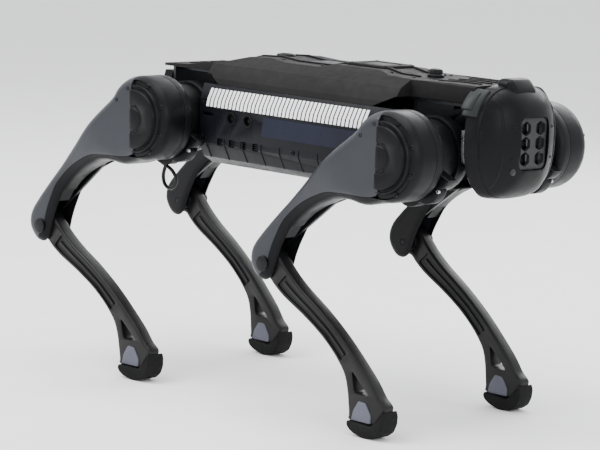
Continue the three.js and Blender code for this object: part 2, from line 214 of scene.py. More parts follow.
def board_finish():
    """Green lacquered board with a pattern of copper tracks under the lacquer."""
    made = finish("board", (0.02, 0.09, 0.04), 0.35, coat=0.4, grain=500)
    tree = made.node_tree
    surface = tree.nodes["Principled BSDF"]
    coords = node(tree, "TexCoord")
    tracks = node(tree, "TexBrick", offset=0.5)
    tracks.inputs["Scale"].default_value = 90
    tracks.inputs["Mortar Size"].default_value = 0.04
    tracks.inputs["Color1"].default_value = (0.016, 0.08, 0.035, 1)
    tracks.inputs["Color2"].default_value = (0.02, 0.1, 0.04, 1)
    tracks.inputs["Mortar"].default_value = (0.08, 0.22, 0.07, 1)
    link(tree, coords, "Object", tracks, "Vector")
    link(tree, tracks, "Color", surface, "Base Color")
    return made


SLATE = finish("slate_paint", (0.0115, 0.0135, 0.0185), 0.42, 0.1, 0.16, 1800, 0.12, 0.1, 0.15, 0.05,
               specular=0.3)
BLACK = finish("satin_black", (0.0043, 0.0044, 0.0051), 0.42, 0.0, 0.25, 1500, 0.2, 0.12, 0, 0.05,
               specular=0.12)
HEAD = finish("head_black", (0.0034, 0.0034, 0.0040), 0.36, 0.0, 0.25, 1500, 0.16, 0.1, 0, 0.04,
              specular=0.1)
PANEL = finish("panel_black", (0.0040, 0.0044, 0.0063), 0.38, 0.0, 0.3, 1500, 0.2, 0.12, 0, 0.04,
               specular=0.12)
TEXTURED = finish("textured_black", (0.0081, 0.0076, 0.0079), 0.6, 0.0, 0.22, 620, 0.5, 0.5, 0, 0.08,
                  specular=0.12)
ANODISED = finish("black_anodised", (0.0031, 0.0034, 0.0041), 0.38, 0.1, 0.2, 1100, 0.15, 0.1, 0, 0.06,
                  specular=0.12)
ALLOY = finish("dark_alloy", (0.04, 0.042, 0.046), 0.42, 0.85, 0.15, 900, 0.3, 0.2, 0, 0.1)
BRIGHT = finish("bright_alloy", (0.62, 0.63, 0.66), 0.3, 1.0, 0.08, 900, 0.15, 0.1)
OXIDE = finish("black_oxide", (0.0072, 0.0072, 0.0081), 0.36, 0.5, 0.2, 900, 0.2, 0.1, 0, 0.1,
               specular=0.25)
LIMB = finish("limb_black", (0.0055, 0.0053, 0.0056), 0.34, 0.0, 0.25, 1300, 0.2, 0.14, 0, 0.1,
              specular=0.2)
RUBBER = finish("rubber", (0.0051, 0.0051, 0.0054), 0.72, 0.0, 0.25, 420, 0.5, 0.5, 0, 0.15, specular=0.12)
JACKET = finish("cable_jacket", (0.0048, 0.0048, 0.0051), 0.42, 0.0, 0.2, 900, 0.2, 0.1, specular=0.2)
CELL = finish("battery_case", (0.05, 0.055, 0.06), 0.5, 0.0, 0.2, 900, 0.4, 0.3)
PAD = finish("pale_pad", (0.0750, 0.0788, 0.1013), 0.5, 0.0, 0.15, 900, 0.3, 0.2, 0, 0.1, specular=0.25)
GREY = finish("grey_green", (0.0117, 0.0140, 0.0144), 0.42, 0.0, 0.15, 1300, 0.2, 0.1, specular=0.18)
WEB = finish("face_web", (0.0210, 0.0210, 0.0235), 0.42, 0.0, 0.15, 1300, 0.2, 0.1, specular=0.2)
LENS = finish("lens_glass", (0.003, 0.003, 0.005), 0.1, 0.0, 0.3, 300, 0.02, 0.02, 0.5)
PRINT = finish("pale_print", (0.86, 0.86, 0.88), 0.5, 0.0, 0.05, 1500, 0.1, 0.05, 0, 0.05)
INLAY = finish("indigo_inlay", (0.0072, 0.0088, 0.0198), 0.32, 0.0, 0.25, 1500, 0.1, 0.1, 0, specular=0.15)
BOARD = board_finish()


# ---- Outlines -----------------------------------------------------------------------------------
def smooth(points, step, closed=True):
    """A centripetal Catmull-Rom curve through the points, resampled in even steps."""
    given = [np.array(p, float) for p in points]
    count = len(given)
    if closed:
        padded = [given[-1], *given, given[0], given[1]]
    else:
        padded = [2 * given[0] - given[1], *given, 2 * given[-1] - given[-2]]
    path = []

    def between(first, second, start, stop, t):
        return ((stop - t) * first + (t - start) * second) / (stop - start)

    for i in range(count if closed else count - 1):
        p = padded[i:i + 4]
        knots = [0.0]
        for a, b in zip(p, p[1:]):
            knots.append(knots[-1] + max(1e-4, np.linalg.norm(b - a)) ** 0.5)
        for t in np.linspace(knots[1], knots[2], 12, endpoint=False):
            q = [between(p[k], p[k + 1], knots[k], knots[k + 1], t) for k in range(3)]
            r = [between(q[k], q[k + 1], knots[k], knots[k + 2], t) for k in range(2)]
            path.append(between(r[0], r[1], knots[1], knots[2], t))
    path.append(given[0] if closed else given[-1])
    path = np.array(path)
    lengths = np.concatenate([[0], np.cumsum(np.linalg.norm(np.diff(path, axis=0), axis=1))])
    steps = max(3, round(lengths[-1] / step))
    at = np.linspace(0, lengths[-1], steps + 1)[: steps if closed else steps + 1]
    return np.stack([np.interp(at, lengths, path[:, k]) for k in range(path.shape[1])], axis=1)


def arc(radius, start, stop, step, centre=(0, 0)):
    angles = np.radians(np.arange(start, stop + 0.01, step))
    return [(centre[0] + radius * math.cos(a), centre[1] + radius * math.sin(a)) for a in angles]


def rounded(points, radius, steps=5):
    """A polygon with its corners rounded."""
    made = []
    count = len(points)
    for i in range(count):
        corner = np.array(points[i], float)
        before = np.array(points[i - 1], float) - corner
        after = np.array(points[(i + 1) % count], float) - corner
        reach = min(radius, np.linalg.norm(before) * 0.45, np.linalg.norm(after) * 0.45)
        a = corner + before / np.linalg.norm(before) * reach
        b = corner + after / np.linalg.norm(after) * reach
        for t in np.linspace(0, 1, steps + 1):
            made.append(tuple((1 - t) ** 2 * a + 2 * t * (1 - t) * corner + t * t * b))
    return made


def box_outline(x0, x1, z0, z1, radius=0):
    corners = [(x0, z0), (x1, z0), (x1, z1), (x0, z1)]
    return rounded(corners, radius) if radius else corners


# ---- Solids -------------------------------------------------------------------------------------
def mesh_of(vertices, faces):
    made = bpy.data.meshes.new("shape")
    made.from_pydata([tuple(v) for v in vertices], [], [tuple(f) for f in faces])
    return tidy(made)


def tidy(made, weld=1e-4):
    solid = bmesh.new()
    solid.from_mesh(made)
    bmesh.ops.remove_doubles(solid, verts=solid.verts, dist=weld)
    bmesh.ops.dissolve_degenerate(solid, edges=solid.edges, dist=weld)
    bmesh.ops.recalc_face_normals(solid, faces=solid.faces)
    solid.to_mesh(made)
    solid.free()
    return made


def inside(point, loop):
    x, y = point
    crossings = False
    ahead = np.roll(loop, -1, axis=0)
    straddles = (loop[:, 1] > y) != (ahead[:, 1] > y)
    rows = np.nonzero(straddles)[0]
    for i in rows:
        (x0, y0), (x1, y1) = loop[i], ahead[i]
        if x < x0 + (y - y0) / (y1 - y0) * (x1 - x0):
            crossings = not crossings
    return crossings


def patch(loop, spacing):
    """Triangles that fill a closed loop, with extra points about spacing apart inside it."""
    loop = np.array(loop, float)
    low, high = loop.min(0), loop.max(0)
    extra = []
    if spacing:
        for x in np.arange(low[0] + spacing / 2, high[0], spacing):
            for z in np.arange(low[1] + spacing / 2, high[1], spacing):
                near = np.min(np.hypot(*(loop - (x, z)).T))
                if near > spacing * 0.55 and inside((x, z), loop):
                    extra.append((x, z))
    count = len(loop)
    points = [Vector(p) for p in [*map(tuple, loop), *extra]]
    edges = [(i, (i + 1) % count) for i in range(count)]
    made = geometry.delaunay_2d_cdt(points, edges, [], 0, 1e-5)
    corners = [tuple(v) for v in made[0]]
    origin = [group[0] if group else None for group in made[3]]
    triangles = []
    for face in made[2]:
        centre = np.mean([corners[i] for i in face], axis=0)
        if inside(centre, loop) and None not in [origin[i] for i in face]:
            triangles.append([origin[i] for i in face])
    return extra, triangles


def across(loop, normal):
    """How far it is from each point of a loop, straight inwards, to the loop's other side."""
    ahead = np.roll(loop, -1, axis=0)
    widths = []
    for i in range(len(loop)):
        start, side = loop - loop[i], ahead - loop
        cross = normal[i, 0] * side[:, 1] - normal[i, 1] * side[:, 0]
        cross = np.where(np.abs(cross) < 1e-9, 1e-9, cross)
        reach = (start[:, 0] * side[:, 1] - start[:, 1] * side[:, 0]) / cross
        place = (start[:, 0] * normal[i, 1] - start[:, 1] * normal[i, 0]) / cross
        hits = reach[(place >= 0) & (place <= 1) & (reach > 0.05)]
        widths.append(hits.min() if len(hits) else 1e4)
    return np.array(widths)


def inward(loop):
    """The inward direction at each point of a loop, and how far it can be drawn in there."""
    loop = np.array(loop, float)
    ahead, behind = np.roll(loop, -1, axis=0), np.roll(loop, 1, axis=0)
    along = ahead - behind
    along /= np.linalg.norm(along, axis=1)[:, None]
    area = np.sum(loop[:, 0] * ahead[:, 1] - ahead[:, 0] * loop[:, 1])
    turn = 1 if area > 0 else -1
    normal = np.stack([-along[:, 1], along[:, 0]], axis=1) * turn
    a, b = loop - behind, ahead - loop
    cross = (a[:, 0] * b[:, 1] - a[:, 1] * b[:, 0]) * turn
    sides = np.linalg.norm(a, axis=1) * np.linalg.norm(b, axis=1) * np.linalg.norm(ahead - behind, axis=1)
    bend = 2 * cross / np.maximum(sides, 1e-9)
    radius = np.where(bend > 1e-4, 1 / np.maximum(bend, 1e-4), 1e4)
    radius = np.minimum(radius, across(loop, normal) * 0.54)
    for _ in range(6):
        radius = np.minimum(radius, (np.roll(radius, 1) + np.roll(radius, -1)) / 2 + 1)
    return normal, radius


def drawn_in(loop, amount):
    normal, radius = inward(loop)
    reach = np.minimum(amount, radius * 0.85)
    return np.array(loop, float) + normal * reach[:, None]


def puck(loop, low, high, low_round=0.0, high_round=0.0, steps=5, spacing=0, bulge=None):
    """A solid with its outline in the X-Z plane, from depth low to depth high, with rounded rims."""
    loop = np.array(loop, float)
    normal, radius = inward(loop)
    levels = []
    for step in range(steps + 1 if low_round else 1):
        angle = math.pi / 2 * (1 - step / steps)
        levels.append((low_round * (1 - math.cos(angle)) if low_round else 0,
                       low + (low_round * (1 - math.sin(angle)) if low_round else 0)))
    for step in range(steps + 1 if high_round else 1):
        angle = math.pi / 2 * step / steps
        levels.append((high_round * (1 - math.cos(angle)) if high_round else 0,
                       high - (high_round * (1 - math.sin(angle)) if high_round else 0)))
    vertices, faces = [], []
    count = len(loop)
    ring = []
    for inset, depth in levels:
        reach = np.minimum(inset, radius * 0.85)
        ring = loop + normal * reach[:, None]
        vertices.extend((x, depth, z) for x, z in ring)
    for level in range(len(levels) - 1):
        for i in range(count):
            j = (i + 1) % count
            base = level * count
            faces.append((base + i, base + j, base + count + j, base + count + i))
    for level, depth in ((0, low), (len(levels) - 1, high)):
        inset = levels[level][0]
        ring = loop + normal * np.minimum(inset, radius * 0.85)[:, None]
        extra, triangles = patch(ring, spacing)
        base = len(vertices)
        vertices.extend((x, depth, z) for x, z in extra)
        for face in triangles:
            faces.append([level * count + i if i < count else base + i - count for i in face])
    if bulge:
        vertices = [(x, y + bulge(x, z) * (y - low) / (high - low), z) for x, y, z in vertices]
    return mesh_of(vertices, faces)


def lathe(profile, segments=64):
    """A turned piece about the Y axis. The profile's pairs are (radius, depth), from axis to axis."""
    vertices, faces, rings = [], [], []
    for radius, depth in profile:
        if radius < 1e-6:
            rings.append([len(vertices)] * segments)
            vertices.append((0, depth, 0))
            continue
        rings.append(list(range(len(vertices), len(vertices) + segments)))
        for k in range(segments):
            angle = 2 * math.pi * k / segments
            vertices.append((radius * math.cos(angle), depth, radius * math.sin(angle)))
    for lower, upper in zip(rings, rings[1:]):
        for k in range(segments):
            j = (k + 1) % segments
            face = [lower[k], lower[j], upper[j], upper[k]]
            face = [v for n, v in enumerate(face) if v not in face[:n]]
            if len(face) > 2:
                faces.append(face)
    return mesh_of(vertices, faces)


def turned(made, matrix):
    made = made.copy()
    made.transform(matrix)
    if matrix.determinant() < 0:
        made.flip_normals()
    return made


def rows_to_mesh(rows, closed=False):
    """A skin over rows of points, closed round if asked, with its ends filled."""
    vertices = [tuple(p) for row in rows for p in row]
    width = len(rows[0])
    faces = []
    for r in range(len(rows) - 1):
        for k in range(width if closed else width - 1):
            j = (k + 1) % width
            faces.append((r * width + k, r * width + j, (r + 1) * width + j, (r + 1) * width + k))
    faces.append(list(range(width)))
    faces.append(list(range((len(rows) - 1) * width, len(rows) * width)))
    return mesh_of(vertices, faces)


def boolean(made, tools, operation="DIFFERENCE"):
    base = bpy.data.objects.new("base", made)
    bpy.context.scene.collection.objects.link(base)
    helpers = []
    for tool in tools:
        helper = bpy.data.objects.new("tool", tool)
        bpy.context.scene.collection.objects.link(helper)
        helpers.append(helper)
        step = base.modifiers.new("step", "BOOLEAN")
        step.operation = operation
        step.solver = "MANIFOLD"
        step.object = helper
    bpy.context.view_layer.update()
    result = bpy.data.meshes.new_from_object(base.evaluated_get(bpy.context.evaluated_depsgraph_get()))
    for used in (base, *helpers):
        bpy.data.objects.remove(used)
    return tidy(result)


def bevelled(made, width, segments=2, sharp=28, flat=1.0):
    """Rounds the edges sharper than an angle."""
    solid = bmesh.new()
    solid.from_mesh(made)
    bmesh.ops.dissolve_limit(solid, angle_limit=math.radians(flat), verts=solid.verts, edges=solid.edges)
    limit = math.radians(sharp)
    edges = [e for e in solid.edges if len(e.link_faces) == 2 and e.calc_face_angle(0) > limit]
    bmesh.ops.bevel(solid, geom=edges, offset=width, segments=segments, profile=0.5,
                    affect="EDGES", clamp_overlap=True)
    bmesh.ops.remove_doubles(solid, verts=solid.verts, dist=width * 0.02)
    solid.to_mesh(made)
    solid.free()
    return made


def show(name, made, matrix, body, material, smooth_to=35):
    """Puts a copy of a shape in its place, riding on a body."""
    made = made.copy()
    made.transform(matrix)
    tidy(made, 1e-7)
    made.shade_smooth()
    made.set_sharp_from_angle(angle=math.radians(smooth_to))
    made.materials.clear()
    made.materials.append(material)
    piece = bpy.data.objects.new(name, made)
    bpy.context.scene.collection.objects.link(piece)
    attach(piece, body)
    return piece


def together(shapes):
    """Several separate shapes as one mesh."""
    whole = bmesh.new()
    for made in shapes:
        whole.from_mesh(made)
    result = bpy.data.meshes.new("group")
    whole.to_mesh(result)
    whole.free()
    return result


def refined(name, node_name, material, width=0.8, segments=2, sharp=28, tools=()):
    """A CAD piece with its edges rounded, and cut where tools say."""
    source = frame["nodes"][node_name]
    made = source.data.copy()
    made.materials.clear()
    made.transform(Matrix.Scale(1 / MM, 4))
    tidy(made, 2e-3)
    if tools:
        made = boolean(made, tools)
    bevelled(made, width, segments, sharp)
    piece = show(name, made, Matrix.Scale(MM, 4), source["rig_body"], material, 32)
    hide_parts(node_name)
    return piece


# ---- Fasteners ----------------------------------------------------------------------------------
SOCKET = 0.5             # a socket's width, of its screw head's


def cap_screw(radius, height):
    """A socket-head screw along +Y, with a chamfered head and a six-sided socket."""
    count = 24
    hexagon = []
    for k in range(count):
        a, b = divmod(k, 4)
        p = np.array([math.cos(math.radians(60 * a)), math.sin(math.radians(60 * a))])
        q = np.array([math.cos(math.radians(60 * a + 60)), math.sin(math.radians(60 * a + 60))])
        hexagon.append(p + (q - p) * b / 4)
    round_one = [np.array([math.cos(2 * math.pi * k / count), math.sin(2 * math.pi * k / count)])
                 for k in range(count)]
    rows = [[(*(p * radius), -1.0) for p in round_one]]
    rows.append([(*(p * radius), height * 0.75) for p in round_one])
    rows.append([(*(p * radius * 0.86), height) for p in round_one])
    rows.append([(*(p * radius * SOCKET * 1.08), height) for p in hexagon])
    rows.append([(*(p * radius * SOCKET), height * 0.9) for p in hexagon])
    rows.append([(*(p * radius * SOCKET), height * 0.25) for p in hexagon])
    return rows_to_mesh([[(x, y, z) for x, z, y in row] for row in rows], closed=True)


def screws(name, places, radius, height, matrix, body, material=OXIDE):
    """One group of screws. Each place is (point, outward direction)."""
    shape = cap_screw(radius, height)
    shapes = []
    for number, (point, direction) in enumerate(places):
        turn = Vector(direction).to_track_quat("Y", "Z").to_matrix().to_4x4()
        spin = Matrix.Rotation(math.radians(23 * number), 4, "Y")
        shapes.append(turned(shape, Matrix.Translation(point) @ turn @ spin))
    return show(name, together(shapes), matrix, body, material, 30)


# ---- Legs: shapes in the limb's own frame -------------------------------------------------------
THIGH_BACK = [
    (-54.5, -62), (-54, -90), (-50, -126), (-46, -166), (-42, -206), (-37, -242), (-33, -260),
    (-27, -271), (-17, -279), (-4, -281.5), (9, -279),
]
THIGH_FRONT = [
    (17, -271), (18, -258), (12, -248), (5, -238), (-2, -226), (-9, -211), (-15, -196), (-17.5, -176),
    (-16, -150), (-10, -124), (-2, -102), (12, -82), (30, -64),
]
SHANK_FRONT = [
    (35, -258), (35.5, -241), (38, -222), (38.5, -200), (37, -150), (31, -102), (22, -58), (19, -30),
]
SHANK_BACK = [
    (-13, -27), (-10, -46), (2, -88), (10, -126), (12, -160), (9, -184), (1, -200), (-9, -214),
    (-19.5, -227), (-23, -229),
]
WINDOW = [(24, -188), (8, -212), (25.5, -231)]
FOOT = [(27.4, 20), (10.4, -3), (-29, -3), (-30, -8), (-26, -13), (-18, -17)]
FOOT_TOE = [(18, -16.5), (27, -9), (31, 2), (31, 13)]
SOLE_LEAN = 48.8
PAINTED_SHADE_EDGE = 11          # width of the black strip along the thigh's front edge, painted shade where the front face turns downwards
HIP_SEAM_X = -5        # the thigh's seam over the hip; in front of it the hip housing is black


def limb_angle(x, z):
    """A direction seen from the robot's side, in a leaning limb's own frame."""
    a = math.radians(MEAN_LEAN)
    return x * math.cos(a) - z * math.sin(a), x * math.sin(a) + z * math.cos(a)


def thigh_loop():
    return smooth(arc(DRUM_R, -40, 200, 12) + THIGH_BACK + THIGH_FRONT, 4)


def fork_prism(low, high):
    """The room that the shank sweeps through round the knee."""
    reach, first, last = 66, -16, 184
    rim = [(reach * math.sin(math.radians(a)), -THIGH + reach * math.cos(math.radians(a)))
           for a in np.linspace(first, last, 24)]
    return puck([(0, -THIGH), *rim], low, high)


def disc(radius, low, high, at=(0, 0), segments=64):
    made = lathe([(0, low), (radius, low), (radius, high), (0, high)], segments)
    made.transform(Matrix.Translation((at[0], 0, at[1])))
    return made


def black_and_painted_shade_zone():
    """Seen from the side, all that lies in front of the seam between the thigh's slate shell and its black
    part: the hip housing's own black, and a strip of painted shade along the front edge.
    """
    top = limb_angle(HIP_SEAM_X, 80)
    seam = [top, limb_angle(HIP_SEAM_X, 20), limb_angle(HIP_SEAM_X, -20),
            limb_angle(HIP_SEAM_X + 3, -46)]
    edge = [(x - PAINTED_SHADE_EDGE, z) for x, z in reversed(THIGH_FRONT[1:-1])]
    curve = smooth(seam + edge + [(8, -300)], 5, closed=False)
    return [*map(tuple, curve), (140, -300), (140, 120)]


def thigh_shapes():
    loop = thigh_loop()

    def hip_bulge(x, z):
        t = min(1, max(0, (z + 190) / 120))
        return HIP_BULGE * t * t * (3 - 2 * t)

    outer = puck(loop, SHELL_SPLIT + 0.15, SHELL_OUT, 0.6, 14, 7, 9, hip_bulge)
    cavity = puck(drawn_in(loop, 4), 100, 152.5)
    motor_room = disc(MOTOR_R + 0.3, 100, 165)
    pin_hole = disc(4.3, 90, 190, (0, -THIGH), 32)
    outer = boolean(outer, [cavity, motor_room, fork_prism(120, 152.5), pin_hole])
    # The black part of the shell: the hip housing's own black, and painted shade along the front edge.
    zone = puck(black_and_painted_shade_zone(), 90, 200)
    gap = puck(np.array(black_and_painted_shade_zone()) - (0.5, 0), 90, 200)
    face_hole = disc(52, 140, 200)
    hip_black_and_painted_shade = boolean(boolean(outer.copy(), [zone], "INTERSECT"), [face_hole])
    skin = boolean(outer, [gap])
    inner = puck(loop, SHELL_IN, SHELL_SPLIT - 0.15, 9, 0.6, 6, 9)
    rod_slot = puck([(-24, -98), (60, -98), (60, -THIGH), (-24, -THIGH)], 118.5, 170)
    room = puck(drawn_in(loop, 4), 118.5, 170)
    inner = boolean(inner, [room, rod_slot, fork_prism(118.5, 170), pin_hole])
    return skin, hip_black_and_painted_shade, inner


def hub_shape():
    """The motor's black face, ahead of the thigh's seam: a stepped plate and a raised cap."""
    profile = [
        (0, 158), (51.4, 158), (51.4, 165.4), (50.6, 166.4), (46.4, 166.8), (45.8, 167.6), (45.6, 170.4),
        (44.6, 171.8), (43.4, 172.2), (42.6, 171.8), (42.2, 170.8), (40.2, 170.8), (39.6, 171.6),
        (39.2, 174.4),
        (38.2, 175.7), (36.4, CAP_OUT), (21, CAP_OUT), (20, 175.5), (19.6, 174.6), (15, 174.4), (14.4, 175.2),
        (13, 175.8), (0, CAP_OUT),
    ]
    edge = HIP_SEAM_X + 0.6
    side = [limb_angle(x, z) for x, z in ((edge, -90), (90, -90), (90, 90), (edge, 90))]
    return bevelled(boolean(lathe(profile, 96), [puck(side, 100, 200)], "INTERSECT"), 0.7, 2, 40)


def motor_shape():
    profile = [(0, 132), (48.6, 132), (49.8, 133), (49.8, 139), (48.8, 140), (48.8, 150), (49.8, 151),
               (49.8, 157.6), (0, 157.6)]
    return lathe(profile, 80)


def hub_screws():
    """Screw places round the hub: (point, direction), in the thigh's frame."""
    places = []
    rim, plate, cap = 166.4, 170.8, 174.2
    for x, z, depth in ((47, 18, rim), (22, 44.5, rim), (-12, 40, plate), (46, -18, rim), (25, -43, rim),
                        (-34, 24, plate), (7, 18, cap), (7, -18, cap)):
        a, b = limb_angle(x, z)
        places.append(((a, depth, b), (0, 1, 0)))
    return places


def edge_x(points, z):
    rows = sorted(points, key=lambda p: p[1])
    return float(np.interp(z, [p[1] for p in rows], [p[0] for p in rows]))


def shank_band(inset_front, inset_back, top, bottom):
    """A stretch of the shank's side, between lines kept from its front and back edges."""
    heights = np.arange(top, bottom - 1, -6)
    front = [(edge_x(SHANK_FRONT, z) - inset_front, z) for z in heights]
    back = [(edge_x(SHANK_BACK, z) + inset_back, z) for z in heights]
    return rounded(front + back[::-1], 2.5, 3)


def shank_shape():
    loop = smooth(SHANK_FRONT + arc(19.5, 0, 225, 15) + SHANK_BACK + [(5, -260.5)], 3)
    bar = puck(loop, *SHANK_Y, 3.6, 3.6, 5, 0)
    window = puck(rounded(WINDOW, 6), 120, 160)
    channel = shank_band(5.2, 5.2, -30, -172)
    pockets = [puck(channel, SHANK_Y[1] - 3.2, 170), puck(channel, 110, SHANK_Y[0] + 3.2)]
    bar = boolean(bar, [window, *pockets, disc(4.3, 100, 170, (0, 0), 32)])
    middle = []
    for z in np.arange(-34, -170, -6):
        middle.append(((edge_x(SHANK_FRONT, z) + edge_x(SHANK_BACK, z)) / 2, z))
    rib = [(x + 1.7, z) for x, z in middle] + [(x - 1.7, z) for x, z in reversed(middle)]
    rib = puck(rib, SHANK_Y[0] + 0.9, SHANK_Y[1] - 0.9, 0.8, 0.8, 2)
    return bevelled(boolean(bar, [rib], "UNION"), 0.5, 2, 50, 0.2)


def lever_shape():
    """The shank's drive lever, straight back from the knee, with its pin."""
    reach = 17
    tail = arc(12, -80, 80, 16) + arc(5, 100, 260, 20, (-reach, 0))
    plate = puck(tail, 125.6, 131.5, 0.6, 0, 2)
    pin = disc(2.7, 119.4, 126.6, (-reach, 0), 20)
    return boolean(boolean(plate, [pin], "UNION"), [disc(4.3, 100, 170, (0, 0), 32)])


def foot_shape():
    sole = [(SOLE_R * math.sin(math.radians(a)), -SOLE_R * math.cos(math.radians(a)))
            for a in range(-15, 16, 5)]
    pad = puck(rounded(FOOT + sole + FOOT_TOE, 3, 4), *FOOT_Y, 2.4, 2.4, 4)
    tread = [(-28, -10.8), (-22, -15.2), (-16, -17.8), (-10, -18.9), (-3.5, -19.9), (3.5, -19.9), (10, -18.9),
             (16, -17.4), (22.5, -13.1), (28, -6.8)]
    grooves = [disc(0.9, 100, 180, at, 10) for at in tread]
    return boolean(pad, [together(grooves)])


def foot_plate_shape():
    """The pale plate set into each side of the ankle, just above the rubber."""
    outline = rounded([(-25, -1), (8, -1), (8, 9), (-2, 24), (-14, 25), (-22, 12)], 2.5)
    return puck(outline, SHANK_Y[0] - 1.6, SHANK_Y[1] + 1.6, 1.2, 1.2, 3)


def skirt_shape():
    """The scalloped lower lip of the hip's motor housing, about the hip axis."""
    rim = []
    for a in np.arange(-130, -22, 2.5):
        reach = 57 + 8 * abs(math.cos(math.radians((a + 130) * 180 / 36))) ** 0.6
        rim.append((reach * math.cos(math.radians(a)), reach * math.sin(math.radians(a))))
    return puck(rim + arc(44.6, -130, -22, 4)[::-1], 94, 112, 2, 2, 3)


# ---- Legs: placing ------------------------------------------------------------------------------
def limb(at, side, lean):
    """From a limb's own frame, in millimetres, to the robot's frame."""
    return (Matrix.Translation((at.x, 0, at.z)) @ Matrix.Rotation(lean, 4, "Y")
            @ Matrix.Diagonal((MM, side * MM, MM, 1)))


def legs():
    skin, hip_black_and_painted_shade, inner = thigh_shapes()
    hub, motor = hub_shape(), motor_shape()
    shank, lever, foot = shank_shape(), lever_shape(), foot_shape()
    plate, skirt = foot_plate_shape(), skirt_shape()
    for leg in LEGS:
        hip, knee = JOINTS[f"{leg}_swing"], JOINTS[f"{leg}_knee"]
        side = 1 if hip.y > 0 else -1
        lean = math.atan2(hip.x - knee.x, hip.z - knee.z)
        drop = knee.z - SOLE_R * MM
        shin = -math.acos(drop / (SHANK * MM))
        thigh_frame = limb(hip, side, lean)
        shank_frame = limb(knee, side, shin)
        sole_turn = Matrix.Rotation(math.radians(SOLE_LEAN), 4, "Y")
        foot_frame = shank_frame @ Matrix.Translation((0, 0, -SHANK)) @ sole_turn
        hip_frame = limb(hip, side, 0)
        body = f"{leg}_thigh"
        piece = show(f"{leg}_thigh_skin", skin, thigh_frame, body, SLATE)
        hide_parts(f"{leg}_thigh_outer")
        # black over the hip housing, and painted shade along the thigh's front edge
        show(f"{leg}_thigh_black_and_painted_shade", hip_black_and_painted_shade, thigh_frame, body, ANODISED)
        piece = show(f"{leg}_thigh_liner", inner, thigh_frame, body, BLACK)
        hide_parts(f"{leg}_thigh_inner")
        piece = show(f"{leg}_hub_cap", hub, thigh_frame, body, ANODISED)
        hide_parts(f"{leg}_motor_cap")
        piece = show(f"{leg}_knee_drive", motor, thigh_frame, body, ANODISED)
        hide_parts(f"{leg}_knee_motor")
        screws(f"{leg}_hub_screws", hub_screws(), 2.9, 1.6, thigh_frame, body)
        refined(f"{leg}_pin", f"{leg}_knee_pin", OXIDE, 0.8, 3)
        refined(f"{leg}_crank_arm", f"{leg}_knee_crank", OXIDE, 0.4)
        refined(f"{leg}_push_rod", f"{leg}_knee_rod", OXIDE, 0.4)
        body = f"{leg}_shank"
        piece = show(f"{leg}_shin", shank, shank_frame, body, LIMB)
        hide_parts(f"{leg}_shank")
        tail = limb(knee, side, lean)
        show(f"{leg}_shin_lever", lever, tail, body, OXIDE)
        piece = show(f"{leg}_foot_rubber", foot, foot_frame, body, RUBBER)
        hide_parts(f"{leg}_foot")
        level = limb(knee + Vector((math.sin(-shin), 0, -math.cos(shin))) * SHANK * MM, side, 0)
        show(f"{leg}_ankle_plate", plate, level, body, PAD)
        body = f"{leg}_hip"
        refined(f"{leg}_hip_bracket", f"{leg}_hip_link", ANODISED, 1.2)
        refined(f"{leg}_hip_motor", f"{leg}_thigh_motor", ANODISED, 1.2)
        show(f"{leg}_hip_skirt", skirt, hip_frame, body, ANODISED)
        screws(f"{leg}_skirt_screw", [((44, 110.8, -40), (0, 1, 0))], 2.6, 1.6, hip_frame, body, BRIGHT)
        refined(f"{leg}_roll_drive", f"{leg}_roll_motor", ANODISED, 1.5)


# ---- Trunk --------------------------------------------------------------------------------------
TOP_LINE = [(-286, 66), (-240, 68), (-196, 74), (-172, 76), (-128, 88), (-92, 90), (-60, 87), (0, 87),
            (22, 92), (100, 92), (120, 88), (180, 86), (230, 88), (268, 88)]
PANEL_SIDE = [(66, -58), (84, -48), (95, -28), (95, 30), (89, 50)]      # (out, up), from the bottom edge
PORTS = [(-115, 8), (-84, 8)]
VENTS = [-134, -112, -90, -68]
UPRIGHT = Matrix(((1, 0, 0, 0), (0, 0, 1, 0), (0, 1, 0, 0), (0, 0, 0, 1)))     # depth becomes height
FORWARDS = Matrix(((0, 1, 0, 0), (1, 0, 0, 0), (0, 0, 1, 0), (0, 0, 0, 1)))    # depth becomes +X
TO_ROW = Matrix.Translation(TRUNK_ZERO / MM)
MIRROR = Matrix.Diagonal((1, -1, 1, 1))


def top_z(x):
    return float(np.interp(x, [p[0] for p in TOP_LINE], [p[1] for p in TOP_LINE]))


def panel_y(z):
    return float(np.interp(z, [p[1] for p in PANEL_SIDE], [p[0] for p in PANEL_SIDE]))


def sheet_between(upper, lower):
    """A closed plate between two grids of points."""
    rows, columns = len(upper), len(upper[0])
    vertices = [tuple(p) for grid in (upper, lower) for row in grid for p in row]
    count = rows * columns
    faces = []
    for r in range(rows - 1):
        for c in range(columns - 1):
            a, b = r * columns + c, (r + 1) * columns + c
            faces.append((a, a + 1, b + 1, b))
            faces.append((a + count, b + count, b + count + 1, a + count + 1))
    rim = ([(0, c) for c in range(columns - 1)] + [(r, columns - 1) for r in range(rows - 1)]
           + [(rows - 1, c) for c in range(columns - 1, 0, -1)] + [(r, 0) for r in range(rows - 1, 0, -1)])
    for (r0, c0), (r1, c1) in zip(rim, rim[1:] + rim[:1]):
        a, b = r0 * columns + c0, r1 * columns + c1
        faces.append((a, b, b + count, a + count))
    return mesh_of(vertices, faces)


def both_sides(made):
    return together([made, turned(made, MIRROR)])


def trunk_show(name, made, material, smooth_to=35):
    return show(name, made, TRUNK, "trunk", material, smooth_to)


def top_strip(x0, x1, y, width, height):
    """A long low rib that follows the top cover."""
    xs = [x0, *[x for x, _ in TOP_LINE if x0 < x < x1], x1]
    rows = []
    for x in xs:
        z = top_z(x)
        rows.append([(x, y - width / 2, z - 1), (x, y + width / 2, z - 1),
                     (x, y + width / 2, z + height), (x, y - width / 2, z + height)])
    return bevelled(rows_to_mesh(rows, closed=True), height * 0.35, 2, 40)


def raised(outline, low, high, rim=1.5):
    """A block standing up, over an outline seen from above."""
    return turned(puck(outline, low, high, 0, rim, 4), UPRIGHT)


